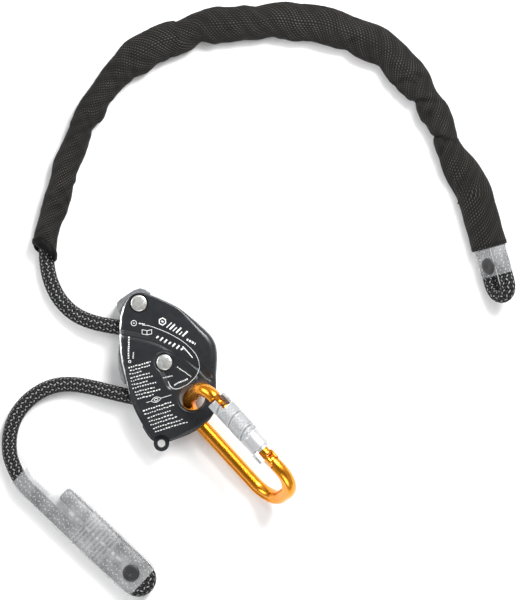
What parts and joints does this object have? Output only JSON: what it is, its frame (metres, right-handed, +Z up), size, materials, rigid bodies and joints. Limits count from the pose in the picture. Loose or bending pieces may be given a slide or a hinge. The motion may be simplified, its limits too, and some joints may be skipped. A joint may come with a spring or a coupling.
{
  "type": "rope grab work-positioning lanyard adjuster",
  "caption": "Rope grab lanyard: pivoting cam between two plates on a kernmantle rope with a release lever, sewn rope ends, a woven cover and a twist-lock carabiner.",
  "frame": {"origin": "centre of the box of the adjuster and its carabiner, on the surface that it lies on", "axes": "+Z up from the surface, through the front plate; +Y from the carabiner eye end towards the release lever's tab; +X away from the side where both rope strands leave"},
  "size_m": [0.3856, 0.4452, 0.0549],
  "materials": {
    "plate_black": "satin",
    "rivet_steel": "brushed",
    "lever_grey": "satin",
    "cam_steel": "satin",
    "bush_brass": "satin",
    "spring_steel": "satin",
    "rope_black": "matt",
    "sleeve_fabric": "matt",
    "cover_clear": "frosted",
    "rivet_black": "satin",
    "thread_grey": "matt",
    "anodised_orange": "gloss",
    "sleeve_silver": "satin",
    "pin_steel": "satin"
  },
  "bodies": {
    "body": {"rear_plate": "plate_black", "front_plate": "plate_black", "top_axle": "rivet_steel", "cam_axle": "rivet_steel", "eye_spacer": "plate_black", "rope_guide": "lever_grey", "lever_bush": "bush_brass", "lever_spring": "spring_steel", "cam_washers": "bush_brass", "cam_spring": "spring_steel", "rope_in_body": "rope_black", "rope_upper": "rope_black", "rope_lower": "rope_black", "protective_sleeve": "sleeve_fabric", "stop_cover": "cover_clear", "stop_rivet": "rivet_black", "stop_stitching": "thread_grey", "eye_cover": "cover_clear", "eye_rivet": "rivet_black", "eye_stitching": "thread_grey"},
    "lever": {"release_lever": "lever_grey", "lever_pin": "pin_steel"},
    "cam": {"cam": "cam_steel", "cam_bush": "bush_brass", "drive_pin": "pin_steel"},
    "connector": {"carabiner_frame": "anodised_orange", "gate_pivot_pin": "pin_steel"},
    "gate": {"gate": "anodised_orange", "guide_pin": "pin_steel", "gate_spring": "spring_steel", "gate_plunger": "pin_steel", "sleeve_spring": "spring_steel"},
    "carrier": {"sleeve_carrier": "sleeve_silver"},
    "lock_sleeve": {"lock_sleeve": "sleeve_silver"}
  },
  "joints": [
    {"name": "lever_press", "type": "hinge", "parent": "body", "child": "lever", "pos_m": [-0.05039, 0.06945, 0.01225], "axis": [0, 0, -1], "range_deg": [0, 12], "stiffness_Nm_per_rad": 0.15, "springref_deg": -20.05},
    {"name": "cam_release", "type": "hinge", "parent": "body", "child": "cam", "pos_m": [-0.03134, 0.02535, 0.01225], "axis": [0, 0, -1], "range_deg": [0, 12]},
    {"name": "carabiner_swing", "type": "hinge", "parent": "body", "child": "connector", "pos_m": [-0.01079, -0.00075, 0.02], "axis": [0, 0, 1], "range_deg": [-20, 35]},
    {"name": "gate_open", "type": "hinge", "parent": "connector", "child": "gate", "pos_m": [0.04873, -0.04636, 0.04663], "axis": [-0.6473, -0.592, 0.4801], "range_deg": [0, 16], "stiffness_Nm_per_rad": 0.12, "springref_deg": -28.65},
    {"name": "sleeve_slide", "type": "slide", "parent": "gate", "child": "carrier", "axis": [0.6749, -0.7379, 0], "range_m": [0, 0.004], "stiffness_N_per_m": 400, "springref_m": -0.004},
    {"name": "sleeve_twist", "type": "hinge", "parent": "carrier", "child": "lock_sleeve", "pos_m": [0.02511, -0.02054, 0.04663], "axis": [0.6749, -0.7379, 0], "range_deg": [0, 90]}
  ],
  "couplings": [
    {"joint": "cam_release", "follows": "lever_press", "ratio": 1}
  ]
}
